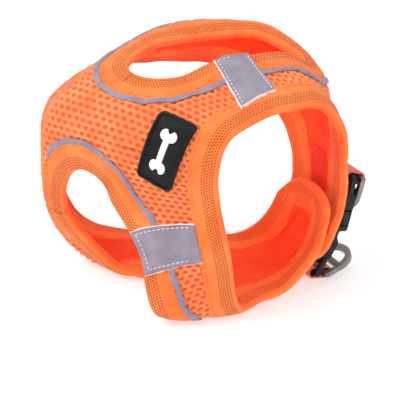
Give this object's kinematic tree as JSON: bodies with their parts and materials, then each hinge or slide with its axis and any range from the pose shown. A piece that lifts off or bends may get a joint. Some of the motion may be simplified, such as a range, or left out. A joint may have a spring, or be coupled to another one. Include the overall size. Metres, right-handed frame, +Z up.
{
  "type": "small dog step-in vest harness",
  "caption": "Orange air-mesh step-in vest harness for a small dog, with reflective patches, rubber label, back closure, side-release buckle and D-rings.",
  "frame": {"origin": "on the floor under the middle of the object's box, as it lies on its side", "axes": "+X towards the neck opening, +Y towards the closure on the dog's back, +Z up, away from the floor it lies on"},
  "size_m": [0.1223, 0.112, 0.1147],
  "materials": {
    "mesh_orange": "matt air mesh",
    "lining_orange": "soft brushed lining",
    "binding_orange": "knitted tape, slight sheen",
    "piping_grey": "reflective piping, satin",
    "patch_grey": "reflective tape, satin",
    "thread_white": "sewing thread",
    "rubber_black": "moulded soft rubber, matt",
    "emblem_white": "moulded soft rubber, matt",
    "hook_orange": "hook tape",
    "loop_orange": "loop tape, fuzzy",
    "webbing_coral": "woven webbing, slight sheen",
    "ring_gunmetal": "plated zinc, satin gun-metal",
    "buckle_black": "moulded acetal, fine texture"
  },
  "bodies": {
    "vest": {"mesh_chest": "mesh_orange", "mesh_wing_upper": "mesh_orange", "mesh_back_upper": "mesh_orange", "mesh_wing_lower": "mesh_orange", "mesh_flap": "mesh_orange", "lining": "lining_orange", "neck_binding": "binding_orange", "rear_binding": "binding_orange", "leg_binding_upper": "binding_orange", "leg_binding_lower": "binding_orange", "flap_end_binding": "binding_orange", "outer_end_binding": "binding_orange", "piping_upper": "piping_grey", "piping_lower": "piping_grey", "piping_girth": "piping_grey", "patch_upper": "patch_grey", "patch_lower": "patch_grey", "patch_stitching": "thread_white", "rubber_label": "rubber_black", "label_emblem": "emblem_white", "hook_patch": "hook_orange", "loop_patch": "loop_orange", "webbing_upper": "webbing_coral", "webbing_lower": "webbing_coral", "buckle_female": "buckle_black", "buckle_male": "buckle_black"},
    "d_ring_upper": {"d_ring_upper": "ring_gunmetal"},
    "d_ring_lower": {"d_ring_lower": "ring_gunmetal"},
    "release_arm_left": {"release_arm_left": "buckle_black"},
    "release_arm_right": {"release_arm_right": "buckle_black"}
  },
  "joints": [
    {"name": "d_ring_upper_swing", "type": "hinge", "parent": "vest", "child": "d_ring_upper", "pos_m": [0.04666, 0.05008, 0.04682], "axis": [0.9205, -0.3907, 0], "range_deg": [0, 150]},
    {"name": "d_ring_lower_swing", "type": "hinge", "parent": "vest", "child": "d_ring_lower", "pos_m": [0.04051, 0.03559, 0.00305], "axis": [0.9205, -0.3907, 0], "range_deg": [-80, 38]},
    {"name": "release_arm_left_press", "type": "hinge", "parent": "vest", "child": "release_arm_left", "pos_m": [0.03601, 0.04136, 0.01862], "axis": [0.3791, 0.8932, -0.2419], "range_deg": [0, 6], "stiffness_Nm_per_rad": 0.05},
    {"name": "release_arm_right_press", "type": "hinge", "parent": "vest", "child": "release_arm_right", "pos_m": [0.04779, 0.03636, 0.01862], "axis": [0.3791, 0.8932, -0.2419], "range_deg": [-6, 0], "stiffness_Nm_per_rad": 0.05}
  ],
  "couplings": [
    {"joint": "release_arm_right_press", "follows": "release_arm_left_press", "ratio": -1}
  ]
}
